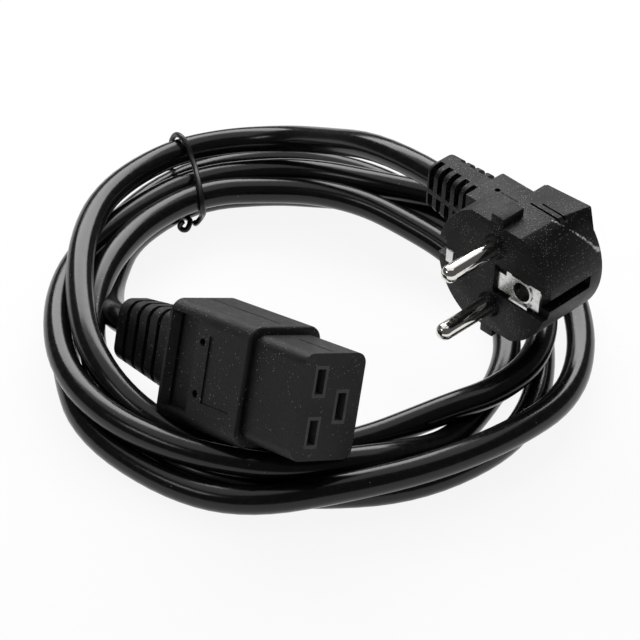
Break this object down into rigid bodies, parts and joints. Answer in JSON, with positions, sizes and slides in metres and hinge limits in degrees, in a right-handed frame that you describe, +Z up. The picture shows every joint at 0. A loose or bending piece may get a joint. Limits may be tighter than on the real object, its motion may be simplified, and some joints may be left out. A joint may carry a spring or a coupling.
{
  "type": "c19 power connector",
  "caption": "Moulded power connector with slotted contacts on a coiled round cord with a wire tie and an angled earthed plug.",
  "frame": {"origin": "middle of the connector's mating face", "axes": "+X runs along the connector towards its mating face, level with the ground, +Z is up, and the connector rests pitched up 15.5 degrees and leaning 26.2 degrees on the coil"},
  "size_m": [0.1583, 0.1489, 0.0588],
  "materials": {
    "connector_moulding": "fine grained black moulding",
    "plug_moulding": "fine grained black moulding, scuffed along one edge",
    "carrier": "dark grey insulating moulding",
    "contact_metal": "folded sheet brass",
    "core_brown": "smooth insulation",
    "core_blue": "smooth insulation",
    "core_green": "smooth green and yellow insulation",
    "cord_jacket": "smooth glossy black sheath",
    "tie_coating": "thin black coating on wire",
    "pin_plating": "polished nickel",
    "earth_metal": "stamped plated sheet"
  },
  "bodies": {
    "root": {"connector_shell": "connector_moulding", "contact_carrier": "carrier", "carrier_cover": "carrier", "line_contact": "contact_metal", "neutral_contact": "contact_metal", "earth_contact": "contact_metal", "line_core": "core_brown", "neutral_core": "core_blue", "earth_core": "core_green", "connector_lead": "cord_jacket", "cord_coil": "cord_jacket", "plug_lead": "cord_jacket", "twist_tie": "tie_coating", "plug_shell": "plug_moulding", "plug_bridge": "carrier", "line_pin": "pin_plating", "neutral_pin": "pin_plating", "earth_socket": "earth_metal", "earth_strap": "earth_metal", "plug_line_core": "core_brown", "plug_neutral_core": "core_blue", "plug_earth_core": "core_green"}
  },
  "joints": []
}
